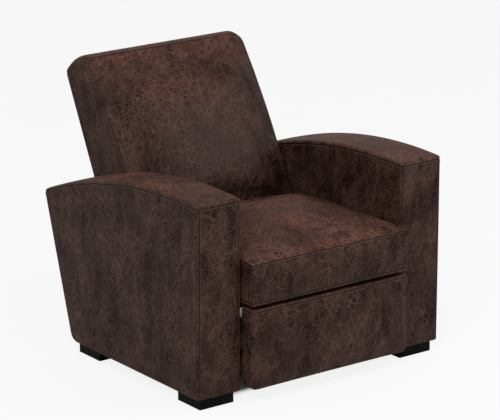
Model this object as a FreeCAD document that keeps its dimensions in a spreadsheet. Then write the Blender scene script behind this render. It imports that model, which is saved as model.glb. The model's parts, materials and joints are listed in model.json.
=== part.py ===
import FreeCAD, Part
import math
import os
import Sketcher

# Push-back recliner armchair, in millimetres. +Z is up, -Y is the front and +X the sitter's left.
# Depths are measured from the arms' front faces towards the rear, heights from the floor.
# Pieces are named left and right as seen from in front of the chair, so left is at -X.

doc = FreeCAD.newDocument("recliner")
sheet = doc.addObject("Spreadsheet::Sheet", "Sheet")

SIZES = {
    # reach of the upholstery in front of the arms' front faces and behind the arms
    "front_reach": 52,
    "back_behind_arm": 114,
    # arms
    "inner_half": 300,
    "arm_width": 145,
    "arm_bottom": 35,
    "arm_front_height": 614,
    "arm_rear_height": 476,
    "arm_depth": 794,
    "arm_bow": 47,
    "arm_rake": 17.2,
    "arm_heel": 28,
    "arm_heel_bow": 6.7,
    "arm_pad": 28,
    "arm_edge": 7,
    "arm_wall": 15,
    "arm_front_wall": 18,
    "arm_rear_wall": 12,
    "arm_frame_thick": 20,
    "arm_frame_band": 60,
    "arm_frame_gap": 3,
    "arm_frame_head": 72,
    "arm_frame_back": 84,
    # feet
    "foot_wide": 121,
    "foot_deep": 112,
    "foot_inset": 12,
    "foot_edge": 3,
    "rear_foot_heel": 13.5,
    # base frame
    "rail_low": 40,
    "rail_tall": 35,
    "front_rail_depth": 150,
    "cross_rail_deep": 40,
    "tail_panel_top": 350,
    "tail_panel_bottom": 50,
    "tail_panel_thick": 14,
    "tail_panel_inset": 6,
    # mechanism plates
    "plate": 3,
    "play": 1,
    "base_rail_front": 110,
    "base_rail_end": 4.5,
    "base_rail_tall": 52,
    "base_flange": 24,
    "swing_front_depth": 150,
    "swing_rear_inset": 155,
    "swing_height": 110,
    "swing_length": 115,
    "swing_lean": 18,
    "link_half": 9,
    "pin_radius": 5,
    "pin_play": 0.05,
    "free_play": 0.3,
    "head_radius": 7,
    "head_thick": 0.6,
    "head_play": 0.2,
    # footrest linkage, folded
    "thigh_depth": 78,
    "thigh_height": 234,
    "thigh_length": 150,
    "thigh_angle": 78,
    "thigh_tail": 34,
    "shin_length": 158,
    "shin_angle": 82,
    "shin_heel": 22,
    "shin_heel_angle": 114,
    "guide_depth": 127.1,
    "guide_height": 250.7,
    "guide_eye": 8.3,
    "guide_eye_wall": 5,
    # seat plates
    "plate_low": 205,
    "plate_high": 280,
    "plate_nose": 66,
    "plate_lobe": 12,
    "flange_front": 150,
    "flange_short": 40,
    "flange_wide": 27,
    "hinge_behind": 60,
    "hinge_height": 330,
    "tie_tube_depth": 300,
    "tie_tube_height": 240,
    "tie_tube_radius": 13,
    "tie_tube_wall": 2,
    # seat frame and cushion
    "seat_rail_tall": 19,
    "seat_rail_wide": 40,
    "seat_rail_front": 12,
    "seat_front_rail_deep": 28,
    "front_rail_short": 30,
    "web_wide": 50,
    "web_thick": 2,
    "seat_clear": 11,
    "seat_low": 301.5,
    "seat_seam": 428,
    "seat_rear_height": 409,
    "seat_back_gap": 14,
    "seat_crown": 44,
    "seat_edge_crown": 6,
    "seat_front_bow": 8,
    "seat_end_bow": 1,
    "seat_draw": 7,
    # footrest
    "rest_clear": 12,
    "rest_low": 47,
    "rest_top": 287,
    "rest_back": 5,
    "rest_front_bow": 9,
    "rest_end_bow": 2,
    "rest_edge_bow": 4,
    "rest_draw": 9,
    "board_thick": 12,
    "board_margin": 4,
    "board_inset": 2,
    "rest_flange": 22,
    # back
    "back_clear": 12,
    "back_low": 398,
    "back_top_deep": 113,
    "back_lean": 285,
    "back_top_seam": 866,
    "back_cushion_deep": 56,
    "back_top_bow": 19,
    "back_front_bow": 18,
    "back_crown": 22,
    "back_draw": 7,
    "back_rake": 25.9,
    "shoulder_height": 807,
    "shoulder_bow": 9,
    "back_wall": 14,
    "back_side_wall": 8,
    "back_tail": 300,
    "post_deep": 38,
    "post_wide": 30,
    "post_gap": 2,
    "post_low": 318,
    "post_short": 27,
    "back_rail_tall": 60,
    "back_web_count": 5,
    "seat_web_count": 5,
    "seam_gap": 0.4,
}

# Values worked out from the sizes above.
WORKED_OUT = {
    "rear_reach": "arm_depth + back_behind_arm",
    "face_y": "-(rear_reach - front_reach) / 2",
    "plate_step": "plate + play",
    "seat_half": "inner_half - seat_clear",
    "front_rail_half": "inner_half - front_rail_short",
    "rest_half": "inner_half - rest_clear",
    "back_half": "inner_half - back_clear",
    "post_top": "shoulder_height - post_short",
    "arm_outer": "inner_half + arm_width",
    "arm_pad_front": "arm_front_height - arm_pad",
    "arm_pad_rear": "arm_rear_height - arm_pad",
    "arm_pad_rear_depth": "arm_depth - arm_pad * tan(arm_rake)",
    "arm_heel_depth": "arm_depth - (arm_rear_height - arm_bottom) * tan(arm_rake) - arm_heel",
    "arm_heel_height": "arm_bottom + arm_heel",
    "arm_heel_rear": "arm_depth - (arm_rear_height - arm_heel_height) * tan(arm_rake)",
    "rail_top": "rail_low + rail_tall",
    "rear_foot_depth": "arm_heel_depth + rear_foot_heel - foot_deep",
    "base_rail_rear": "arm_heel_depth - base_rail_end",
    "rear_rail_depth": "base_rail_rear - cross_rail_deep",
    "swing_rear_depth": "base_rail_rear - swing_rear_inset",
    "swing_back": "swing_length * sin(swing_lean)",
    "swing_top": "swing_height + swing_length * cos(swing_lean)",
    "knee_depth": "thigh_depth - thigh_length * cos(thigh_angle)",
    "knee_height": "thigh_height - thigh_length * sin(thigh_angle)",
    "toe_depth": "knee_depth - thigh_tail * cos(thigh_angle)",
    "toe_height": "knee_height - thigh_tail * sin(thigh_angle)",
    "heel_depth": "knee_depth - shin_heel * cos(shin_angle + shin_heel_angle)",
    "heel_height": "knee_height + shin_heel * sin(shin_angle + shin_heel_angle)",
    "ankle_depth": "knee_depth - shin_length * cos(shin_angle)",
    "ankle_height": "knee_height + shin_length * sin(shin_angle)",
    "sole_depth": "ankle_depth + toe_depth - knee_depth",
    "sole_height": "ankle_height + toe_height - knee_height",
    "back_front_top": "rear_reach - back_top_deep",
    "back_front_low": "back_front_top - back_lean",
    "hinge_depth": "back_front_low + hinge_behind",
    "flange_rear": "hinge_depth - flange_short",
    "seat_rear": "back_front_low - seat_back_gap",
    "seat_rail_low": "seat_low - web_thick - seam_gap - seat_rail_tall",
    "seat_front": "-(front_reach - seat_front_bow)",
    "rest_front": "-(front_reach - rest_front_bow)",
    "back_tan": "tan(back_rake)",
    "back_slope": "(back_front_top - back_front_low) / (back_top_seam - back_low)",
    "wall_run": "back_wall / cos(back_rake)",
    "post_run": "post_deep / cos(back_rake)",
}


def fill_sheet():
    row = 0
    for name, value in SIZES.items():
        row += 1
        sheet.set(f"A{row}", name)
        sheet.set(f"B{row}", str(value))
        sheet.setAlias(f"B{row}", name)
    for name, formula in WORKED_OUT.items():
        row += 1
        sheet.set(f"A{row}", name)
        sheet.set(f"B{row}", "=" + formula)
        sheet.setAlias(f"B{row}", name)
    doc.recompute()


def cell(name):
    return "Sheet." + name


def number(formula):
    value = sheet.evalExpression(formula)
    return float(getattr(value, "Value", value))


fill_sheet()
pieces = []


def finished(piece, label):
    piece.Label = label
    pieces.append(piece)
    return piece


def new_body(label, x="0"):
    """A body whose own Y is the depth behind the arm fronts and whose own Z is the height."""
    body = doc.addObject("PartDesign::Body", label)
    body.setExpression("Placement.Base.x", x)
    body.setExpression("Placement.Base.y", cell("face_y"))
    return finished(body, label)


def side_plane(body):
    return next(plane for plane in body.Origin.OriginFeatures if plane.Role == "YZ_Plane")


def new_sketch(body, name, offset=None):
    sketch = body.newObject("Sketcher::SketchObject", name)
    sketch.AttachmentSupport = [(side_plane(body), "")]
    sketch.MapMode = "FlatFace"
    if offset:
        sketch.setExpression("AttachmentOffset.Base.z", offset)
    return sketch


def bind(sketch, kind, places, formula):
    """Adds a constraint that takes its value from a formula."""
    index = sketch.addConstraint(Sketcher.Constraint(kind, *places, number(formula)))
    sketch.setExpression(f"Constraints[{index}]", formula)


def pin_point(sketch, edge, end, point):
    bind(sketch, "DistanceX", (-1, 1, edge, end), point[0])
    bind(sketch, "DistanceY", (-1, 1, edge, end), point[1])


def bowed_edge(start, end, rise):
    """An arc from start to end that stands out to the right of that direction."""
    chord = end - start
    span = chord.Length
    radius = (span * span / 4 + rise * rise) / (2 * rise)
    outward = FreeCAD.Vector(chord.y, -chord.x, 0) / span
    centre = (start + end) / 2 - outward * (radius - rise)
    from_angle = math.atan2(start.y - centre.y, start.x - centre.x)
    to_angle = math.atan2(end.y - centre.y, end.x - centre.x)
    circle = Part.Circle(centre, FreeCAD.Vector(0, 0, 1), radius)
    return Part.ArcOfCircle(circle, from_angle, to_angle)


def radius_formula(start, end, rise):
    span = f"(({end[0]} - ({start[0]}))^2 + ({end[1]} - ({start[1]}))^2)"
    return f"abs(({span} / 4 + ({rise})^2) / (2 * ({rise})))"


def outline(body, name, corners, bows=None, offset=None):
    """Closed outline, anticlockwise. bows gives the rise of each bowed side by its first corner."""
    sketch = new_sketch(body, name, offset)
    bows = bows or {}
    points = [FreeCAD.Vector(number(y), number(z), 0) for y, z in corners]
    count = len(corners)
    starts, ends = [1] * count, [2] * count
    for i, point in enumerate(points):
        after = points[(i + 1) % count]
        rise = number(bows[i]) if i in bows else 0
        if rise > 0:
            sketch.addGeometry(bowed_edge(point, after, rise), False)
        elif rise < 0:
            # a hollow side is the same arc drawn from its other end
            sketch.addGeometry(bowed_edge(after, point, -rise), False)
            starts[i], ends[i] = 2, 1
        else:
            sketch.addGeometry(Part.LineSegment(point, after), False)
    for i in range(count):
        after = (i + 1) % count
        sketch.addConstraint(Sketcher.Constraint("Coincident", i, ends[i], after, starts[after]))
    for i, corner in enumerate(corners):
        pin_point(sketch, i, starts[i], corner)
    for i, rise in bows.items():
        formula = radius_formula(corners[i], corners[(i + 1) % count], rise)
        bind(sketch, "Radius", (i,), formula)
    return sketch


def circles(body, name, centres, radius):
    sketch = new_sketch(body, name)
    for i, (y, z) in enumerate(centres):
        centre = FreeCAD.Vector(number(y), number(z), 0)
        sketch.addGeometry(Part.Circle(centre, FreeCAD.Vector(0, 0, 1), number(radius)), False)
        pin_point(sketch, i, 3, (y, z))
        bind(sketch, "Radius", (i,), radius)
    return sketch


def pad(body, sketch, length, backwards=False, centred=False):
    feature = body.newObject("PartDesign::Pad", sketch.Name + "_pad")
    feature.Profile = sketch
    feature.setExpression("Length", length)
    feature.Reversed = backwards
    feature.Midplane = centred
    sketch.Visibility = False
    body.Tip = feature
    return feature


def pocket(body, sketch, length, backwards):
    feature = body.newObject("PartDesign::Pocket", sketch.Name + "_pocket")
    feature.Profile = sketch
    feature.setExpression("Length", length)
    feature.Reversed = backwards
    sketch.Visibility = False
    body.Tip = feature
    return feature


def trim_edges(body, kind, edges, size_name, size):
    """A fillet or chamfer along edges of the body's last feature."""
    solid = body.Tip
    feature = body.newObject(kind, body.Name + "_edges")
    feature.Base = (solid, edges)
    feature.setExpression(size_name, size)
    body.Tip = feature
    return feature


def box(label, x, width, depth, deep, low, tall, piece=True):
    """A straight timber, board or band. x, depth and low are its least corner."""
    block = doc.addObject("Part::Box", label)
    block.setExpression("Length", width)
    block.setExpression("Width", deep)
    block.setExpression("Height", tall)
    block.setExpression("Placement.Base.x", x)
    block.setExpression("Placement.Base.y", f"{cell('face_y')} + {depth}")
    block.setExpression("Placement.Base.z", low)
    if piece:
        finished(block, label)
    return block


SIDES = (("left", -1), ("right", 1))


def layer_face(layer):
    """Distance from the middle of the chair to the inner face of a layer of the mechanism's plates."""
    return f"({cell('inner_half')} - {layer} * {cell('plate_step')} - {cell('plate')})"


BASE_LAYER, SWING_LAYER, SEAT_LAYER, THIGH_LAYER, SHIN_LAYER, GUIDE_LAYER = range(6)


def at(name):
    """The pivot of that name, as depth and height."""
    return (cell(name + "_depth"), cell(name + "_height"))


THIGH, KNEE, TOE, HEEL = at("thigh"), at("knee"), at("toe"), at("heel")
ANKLE, SOLE, GUIDE, HINGE = at("ankle"), at("sole"), at("guide"), at("hinge")
SWING_FEET = [(cell(f"swing_{end}_depth"), cell("swing_height")) for end in ("front", "rear")]
SWING_HEADS = [(f"{depth} + {cell('swing_back')}", cell("swing_top")) for depth, _ in SWING_FEET]
RUNNING_HOLE = f"({cell('pin_radius')} + {cell('pin_play')})"
FREE_HOLE = f"({cell('pin_radius')} + {cell('free_play')})"
LINK_HALF = cell("link_half")


def bar(body, name, first, second, first_hole, second_hole, second_half=LINK_HALF):
    """A flat link round two pivots. An end that carries a stud has None for its hole."""
    sketch = new_sketch(body, name)
    ends = (first, second)
    halves = (LINK_HALF, second_half)
    holes = (first_hole, second_hole)
    centres = [FreeCAD.Vector(number(y), number(z), 0) for y, z in ends]
    along = centres[1] - centres[0]
    heading = math.atan2(along.y, along.x)
    lean = math.asin((number(halves[0]) - number(halves[1])) / along.Length)
    up = heading + math.pi / 2 - lean
    down = heading - math.pi / 2 + lean
    normal = FreeCAD.Vector(0, 0, 1)

    def rim(i, angle):
        reach = number(halves[i])
        return centres[i] + FreeCAD.Vector(math.cos(angle), math.sin(angle), 0) * reach

    # round end, straight side, round end, straight side, in anticlockwise order
    circle = Part.Circle(centres[0], normal, number(halves[0]))
    sketch.addGeometry(Part.ArcOfCircle(circle, up, down + 2 * math.pi))
    sketch.addGeometry(Part.LineSegment(rim(0, down), rim(1, down)))
    sketch.addGeometry(Part.ArcOfCircle(Part.Circle(centres[1], normal, number(halves[1])), down, up))
    sketch.addGeometry(Part.LineSegment(rim(1, up), rim(0, up)))
    for i in range(4):
        sketch.addConstraint(Sketcher.Constraint("Tangent", i, 2, (i + 1) % 4, 1))
    for i in range(2):
        pin_point(sketch, 2 * i, 3, ends[i])
        bind(sketch, "Radius", (2 * i,), halves[i])
        if holes[i]:
            circle = sketch.addGeometry(Part.Circle(centres[i], normal, number(holes[i])))
            sketch.addConstraint(Sketcher.Constraint("Coincident", circle, 3, 2 * i, 3))
            bind(sketch, "Radius", (circle,), holes[i])
    return sketch


def plate_body(label, side, layer):
    return new_body(label, f"{side} * {layer_face(layer)}")


def link(label, side, layer, *bars):
    body = plate_body(label, side, layer)
    for i, ends in enumerate(bars):
        sketch = bar(body, f"{label}_bar_{i}", *ends)
        pad(body, sketch, cell("plate"), backwards=side < 0)
    return body


def lay_across(solid, side, pivot, inner, length):
    """Turns a round solid to lie across the chair, from its inner end outwards."""
    solid.setExpression("Height", length)
    solid.Placement.Rotation = FreeCAD.Rotation(FreeCAD.Vector(0, 1, 0), 90)
    start = inner if side > 0 else f"-({inner}) - ({length})"
    solid.setExpression("Placement.Base.x", start)
    solid.setExpression("Placement.Base.y", f"{cell('face_y')} + {pivot[0]}")
    solid.setExpression("Placement.Base.z", pivot[1])
    return solid


def disc(name, side, pivot, inner, length, radius):
    solid = doc.addObject("Part::Cylinder", name)
    solid.setExpression("Radius", radius)
    return lay_across(solid, side, pivot, inner, length)


def stud(name, side, pivot, carrier, rider, head_radius):
    """A pin that stands on its carrier's face and goes through the rider, with a flat eight-sided head."""
    reach = f"({cell('plate')} + {cell('head_play')})"
    thick = cell("head_thick")
    if rider > carrier:
        inner = f"({layer_face(rider)} - {cell('head_play')})"
        shank_long = f"({layer_face(carrier)} - {inner})"
        head_inner = f"({inner} - {thick})"
    else:
        inner = f"({layer_face(carrier)} + {cell('plate')})"
        shank_long = f"({layer_face(rider)} + {reach} - {inner})"
        head_inner = f"({inner} + {shank_long})"
    head = doc.addObject("Part::Prism", name + "_head")
    head.Polygon = 8
    head.setExpression("Circumradius", head_radius)
    lay_across(head, side, pivot, head_inner, thick)
    whole = doc.addObject("Part::MultiFuse", name)
    whole.Shapes = [disc(name + "_shank", side, pivot, inner, shank_long, cell("pin_radius")), head]
    return whole


def studs(label, places):
    """One group of separate studs, on both sides of the chair."""
    group = doc.addObject("Part::Compound", label)
    made = []
    for side_name, side in SIDES:
        for i, (pivot, carrier, rider, head) in enumerate(places):
            made.append(stud(f"{label}_{side_name}_{i}", side, pivot, carrier, rider, head))
    group.Links = made
    return finished(group, label)


# Arms
def arm_heel_corners(front, top_front, top_rear):
    """The arm's side, from the front foot corner round the soft heel to the top."""
    return [
        (front, cell("arm_bottom")),
        (cell("arm_heel_depth"), cell("arm_bottom")),
        (cell("arm_heel_rear"), cell("arm_heel_height")),
        top_rear,
        top_front,
    ]


def make_arm(side_name, side):
    inner = cell("inner_half")
    wall = cell("arm_wall")
    pad_rear = (cell("arm_pad_rear_depth"), cell("arm_pad_rear"))
    pad_front = ("0", cell("arm_pad_front"))
    backwards = side < 0

    for name, start in (("inner", inner), ("outer", f"({cell('arm_outer')} - {wall})")):
        label = f"{side_name}_arm_{name}_panel"
        body = new_body(label, f"{side} * {start}")
        corners = arm_heel_corners("0", pad_front, pad_rear)
        sketch = outline(body, label + "_side", corners, {1: cell("arm_heel_bow"), 3: cell("arm_bow")})
        pad(body, sketch, wall, backwards)

    label = f"{side_name}_arm_top_pad"
    body = new_body(label, f"{side} * {inner}")
    corners = [pad_front, pad_rear,
               (cell("arm_depth"), cell("arm_rear_height")), ("0", cell("arm_front_height"))]
    # the underside is hollow to the same bow, so that it seats on the panels
    bows = {0: f"-{cell('arm_bow')}", 2: cell("arm_bow")}
    pad(body, outline(body, label + "_side", corners, bows), cell("arm_width"), backwards)
    doc.recompute()
    trim_edges(body, "PartDesign::Chamfer", long_top_edges(body), "Size", cell("arm_edge"))

    width = f"{cell('arm_width')} - 2 * {wall}"
    x = f"{inner} + {wall}" if side > 0 else f"-({cell('arm_outer')} - {wall})"
    box(f"{side_name}_arm_front_panel", x, width, "0", cell("arm_front_wall"), cell("arm_bottom"),
        f"{cell('arm_pad_front')} - {cell('arm_bottom')} - {cell('seam_gap')}")

    label = f"{side_name}_arm_rear_panel"
    body = new_body(label, f"{side} * ({inner} + {wall})")
    thick = cell("arm_rear_wall")
    low = (cell("arm_heel_rear"), cell("arm_heel_height"))
    corners = [(f"{low[0]} - {thick}", low[1]), low, pad_rear, (f"{pad_rear[0]} - {thick}", pad_rear[1])]
    pad(body, outline(body, label + "_side", corners), width, backwards)

    label = f"{side_name}_arm_frame"
    body = new_body(label, f"{side} * ({inner} + {wall})")
    gap = cell("arm_frame_gap")
    front = f"({cell('arm_front_wall')} + {gap})"
    band = cell("arm_frame_band")
    low = cell("arm_bottom")
    top_front = f"({cell('arm_pad_front')} - {gap})"
    top_rear = f"({cell('arm_pad_rear')} - {gap})"
    foot_rear = f"({cell('arm_heel_depth')} - {gap})"
    head_rear = f"({cell('arm_pad_rear_depth')} - {thick} - 3 * {gap})"
    corners = [(front, low), (foot_rear, low), (head_rear, top_rear), (front, top_front)]
    pad(body, outline(body, label + "_side", corners), cell("arm_frame_thick"), backwards)
    window = [
        (f"{front} + {band}", f"{low} + {band}"),
        (f"{foot_rear} - {band}", f"{low} + {band}"),
        (f"{head_rear} - {cell('arm_frame_back')}", f"{top_rear} - {band}"),
        (f"{front} + {band}", f"{top_front} - {cell('arm_frame_head')}"),
    ]
    pocket(body, outline(body, label + "_window", window), cell("arm_frame_thick"), not backwards)


def long_top_edges(body):
    """The two bowed edges that run along the top of an arm pad."""
    rise = number(cell("arm_pad_front")) + number(cell("arm_pad")) / 2
    found = []
    for i, edge in enumerate(body.Tip.Shape.Edges):
        middle = edge.valueAt((edge.FirstParameter + edge.LastParameter) / 2)
        if edge.Length > number(cell("arm_depth")) / 2 and middle.z > rise - number(cell("arm_bow")):
            found.append((middle.z, f"Edge{i + 1}"))
    found.sort(reverse=True)
    return [name for _, name in found[:2]]


def make_foot(label, side, depth):
    wide, deep = cell("foot_wide"), cell("foot_deep")
    body = new_body(label, f"{side} * ({cell('arm_outer')} - {cell('foot_inset')} - {wide})")
    corners = [(depth, "0"), (f"{depth} + {deep}", "0"),
               (f"{depth} + {deep}", cell("arm_bottom")), (depth, cell("arm_bottom"))]
    pad(body, outline(body, label + "_side", corners), wide, side < 0)
    doc.recompute()
    upright = []
    for i, edge in enumerate(body.Tip.Shape.Edges):
        ends = [vertex.Point for vertex in edge.Vertexes]
        if abs(ends[0].z - ends[1].z) > number(cell("arm_bottom")) / 2:
            upright.append(f"Edge{i + 1}")
    trim_edges(body, "PartDesign::Fillet", upright, "Radius", cell("foot_edge"))


# Base
def make_base():
    for side_name, side in SIDES:
        make_arm(side_name, side)
        make_foot(f"{side_name}_front_foot", side, cell("foot_inset"))
        make_foot(f"{side_name}_rear_foot", side, cell("rear_foot_depth"))
        body = plate_body(f"{side_name}_base_rail", side, BASE_LAYER)
        front, low = cell("base_rail_front"), cell("rail_top")
        rear = cell("base_rail_rear")
        web = [(front, low), (rear, low), (rear, f"{low} + {cell('base_rail_tall')}"),
               (front, f"{low} + {cell('base_rail_tall')}")]
        foot_top = f"{low} + {cell('plate')}"
        foot = [(front, low), (rear, low), (rear, foot_top), (front, foot_top)]
        pad(body, outline(body, f"{side_name}_base_web", web), cell("plate"), side < 0)
        pad(body, outline(body, f"{side_name}_base_foot", foot), cell("base_flange"), side > 0)
    full = f"2 * {cell('inner_half')}"
    for end in ("front", "rear"):
        box(f"{end}_cross_rail", f"-{cell('inner_half')}", full, cell(f"{end}_rail_depth"),
            cell("cross_rail_deep"), cell("rail_low"), cell("rail_tall"))

    body = new_body("tail_panel")
    run = f"tan({cell('arm_rake')})"
    thick = cell("tail_panel_thick")

    def rear_at(level):
        line = f"{cell('arm_depth')} - ({cell('arm_rear_height')} - {level}) * {run}"
        return f"({line} - {cell('tail_panel_inset')})"

    low, top = cell("tail_panel_bottom"), cell("tail_panel_top")
    corners = [(f"{rear_at(low)} - {thick}", low), (rear_at(low), low), (rear_at(top), top),
               (f"{rear_at(top)} - {thick}", top)]
    width = f"2 * ({cell('inner_half')} - {cell('seam_gap')})"
    pad(body, outline(body, "tail_panel_side", corners), width, centred=True)


# Mechanism
def make_swings():
    for side_name, side in SIDES:
        for i, end in enumerate(("front", "rear")):
            head_hole = RUNNING_HOLE if end == "front" else FREE_HOLE
            link(f"{side_name}_{end}_swing", side, SWING_LAYER,
                 (SWING_FEET[i], SWING_HEADS[i], RUNNING_HOLE, head_hole))


def make_footrest_links():
    eye = cell("guide_eye")
    eye_half = f"({eye} + {cell('guide_eye_wall')})"
    for side_name, side in SIDES:
        link(f"{side_name}_lower_link", side, THIGH_LAYER,
             (THIGH, KNEE, RUNNING_HOLE, None), (KNEE, TOE, None, None))
        link(f"{side_name}_upper_link", side, SHIN_LAYER,
             (KNEE, ANKLE, RUNNING_HOLE, None), (KNEE, HEEL, RUNNING_HOLE, None))
        link(f"{side_name}_control_link", side, SEAT_LAYER, (TOE, SOLE, RUNNING_HOLE, FREE_HOLE))
        link(f"{side_name}_guide_link", side, GUIDE_LAYER, (GUIDE, HEEL, RUNNING_HOLE, eye, eye_half))


def make_pins():
    head = cell("head_radius")
    wide_head = f"({cell('guide_eye')} + 2 * {cell('play')})"
    studs("base_pins", [(foot, BASE_LAYER, SWING_LAYER, head) for foot in SWING_FEET])
    seat_places = [(place, SEAT_LAYER, SWING_LAYER, head) for place in SWING_HEADS]
    seat_places += [(THIGH, SEAT_LAYER, THIGH_LAYER, head), (GUIDE, SEAT_LAYER, GUIDE_LAYER, head),
                    (HINGE, SEAT_LAYER, THIGH_LAYER, head)]
    studs("seat_pins", seat_places)
    studs("lower_link_pins", [(KNEE, THIGH_LAYER, SHIN_LAYER, head), (TOE, THIGH_LAYER, SEAT_LAYER, head)])
    studs("upper_link_pins",
          [(ANKLE, SHIN_LAYER, THIGH_LAYER, head), (HEEL, SHIN_LAYER, GUIDE_LAYER, wide_head)])
    studs("footrest_pins", [(SOLE, THIGH_LAYER, SEAT_LAYER, head)])


# Seat
def make_seat_plates():
    nose = cell("plate_nose")
    low, high = cell("plate_low"), cell("plate_high")
    lobe = cell("plate_lobe")
    hinge_y, hinge_z = HINGE
    corners = [
        (nose, f"{THIGH[1]} - {lobe}"),
        (f"{THIGH[0]} + 2 * {LINK_HALF}", low),
        (hinge_y, low),
        (f"{hinge_y} + {lobe}", f"{hinge_z} - {LINK_HALF}"),
        (f"{hinge_y} + {LINK_HALF}", f"{hinge_z} + {lobe}"),
        (f"{hinge_y} - {LINK_HALF}", f"{hinge_z} + {lobe}"),
        (cell("flange_rear"), high),
        (cell("flange_front"), high),
        (f"{GUIDE[0]} - {LINK_HALF}", f"{GUIDE[1]} + {lobe}"),
        (nose, f"{THIGH[1]} + {lobe}"),
    ]
    for side_name, side in SIDES:
        body = plate_body(f"{side_name}_seat_plate", side, SEAT_LAYER)
        pad(body, outline(body, f"{side_name}_plate_web", corners), cell("plate"), side < 0)
        front, rear = cell("flange_front"), cell("flange_rear")
        under = f"{high} - {cell('plate')}"
        edge = [(front, under), (rear, under), (rear, high), (front, high)]
        pad(body, outline(body, f"{side_name}_plate_flange", edge), cell("flange_wide"), side > 0)
    tie = (cell("tie_tube_depth"), cell("tie_tube_height"))
    reach = layer_face(SEAT_LAYER)
    outer = disc("tie_tube_outside", 1, tie, f"-{reach}", f"2 * {reach}", cell("tie_tube_radius"))
    bore = disc("tie_tube_bore", 1, tie, f"-{reach}", f"2 * {reach}",
                f"{cell('tie_tube_radius')} - {cell('tie_tube_wall')}")
    tube = doc.addObject("Part::Cut", "tie_tube")
    tube.Base = outer
    tube.Tool = bore
    finished(tube, "tie_tube")


def make_seat_frame():
    low = cell("plate_high")
    tall = f"({cell('seat_rail_low')} + {cell('seat_rail_tall')} - {low})"
    wide = cell("seat_rail_wide")
    edge = layer_face(SEAT_LAYER)
    front = cell("seat_rail_front")
    front_deep = cell("seat_front_rail_deep")
    behind = f"({front} + {front_deep})"
    rear = cell("hinge_depth")
    long = f"({rear} - {behind})"
    box("seat_left_rail", f"-{edge}", wide, behind, long, low, tall)
    box("seat_right_rail", f"{edge} - {wide}", wide, behind, long, low, tall)
    half = cell("front_rail_half")
    box("seat_front_rail", f"-{half}", f"2 * {half}", front, front_deep, low, tall)
    inside = f"({edge} - {wide})"
    box("seat_rear_rail", f"-{inside}", f"2 * {inside}", f"{rear} - {wide}", wide, low, tall)

    count = int(number(cell("seat_web_count")))
    bands = []
    for i in range(count):
        middle = f"({2 * i + 1 - count} * {inside} / {count})"
        bands.append(box(f"seat_web_{i}", f"{middle} - {cell('web_wide')} / 2", cell("web_wide"), front,
                         f"{rear} - {front}", f"{low} + {tall}", cell("web_thick"), piece=False))
    group = doc.addObject("Part::Compound", "seat_webbing")
    group.Links = bands
    finished(group, "seat_webbing")


# Cushions: sections across the chair, each smaller and flatter towards its ends
MIDDLE = 0.25
SECTIONS = (-1, -0.965, -0.82, -0.55, -MIDDLE, MIDDLE, 0.55, 0.82, 0.965, 1)


def cushion(label, half, profile):
    """A loft through sections. Each has a swell, 1 in the middle, and a pull, 1 at the two ends."""
    body = new_body(label)
    sketches = []
    for i, place in enumerate(SECTIONS):
        swell = round((1 - place * place) / (1 - MIDDLE * MIDDLE), 4)
        pull = 1 if abs(place) == 1 else 0
        corners, bows = profile(swell, pull)
        sketches.append(outline(body, f"{label}_section_{i}", corners, bows, offset=f"{place} * {half}"))
    loft = body.newObject("PartDesign::AdditiveLoft", label + "_loft")
    loft.Profile = sketches[0]
    loft.Sections = sketches[1:]
    loft.Ruled = True
    body.Tip = loft
    return body


def seat_profile(swell, pull):
    draw = f"{pull} * {cell('seat_draw')}"
    front = f"({cell('seat_front')} + {draw})"
    low = f"({cell('seat_low')} + {draw})"
    corners = [
        (front, low),
        (cell("seat_rear"), low),
        (cell("seat_rear"), f"({cell('seat_rear_height')} - {draw})"),
        (front, f"({cell('seat_seam')} - {draw})"),
    ]
    bows = {
        2: f"({cell('seat_edge_crown')} + {swell} * {cell('seat_crown')})",
        3: f"({cell('seat_end_bow')} + {swell} * ({cell('seat_front_bow')} - {cell('seat_end_bow')}))",
    }
    return corners, bows


def rest_profile(swell, pull):
    draw = f"{pull} * {cell('rest_draw')}"
    front = f"({cell('rest_front')} + {draw})"
    back = f"(-{cell('rest_back')})"
    low = f"({cell('rest_low')} + {draw})"
    high = f"({cell('rest_top')} - {draw})"
    inset = cell("rest_edge_bow")
    corners = [(front, f"{low} + {inset}"), (back, f"{low} + {inset}"), (back, f"{high} - {inset}"),
               (front, f"{high} - {inset}")]
    end_bow = cell("rest_end_bow")
    bows = {0: inset, 2: inset, 3: f"({end_bow} + {swell} * ({cell('rest_front_bow')} - {end_bow}))"}
    return corners, bows


def back_profile(swell, pull):
    draw = f"{pull} * {cell('back_draw')}"
    deep = cell("back_cushion_deep")
    low = f"({cell('back_low')} + {draw})"
    high = f"({cell('back_top_seam')} - {draw})"
    slip = f"{draw} * {cell('back_slope')}"
    front_low = f"({cell('back_front_low')} + {draw} + {slip})"
    front_top = f"({cell('back_front_top')} + {draw} - {slip})"
    corners = [
        (front_low, low),
        (f"{cell('back_front_low')} + {deep} + {slip}", low),
        (f"{cell('back_front_top')} + {deep} - {slip}", high),
        (front_top, high),
    ]
    bows = {2: f"({cell('back_top_bow')} - {draw})",
            3: f"({cell('back_front_bow')} + {swell} * {cell('back_crown')})"}
    return corners, bows


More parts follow.
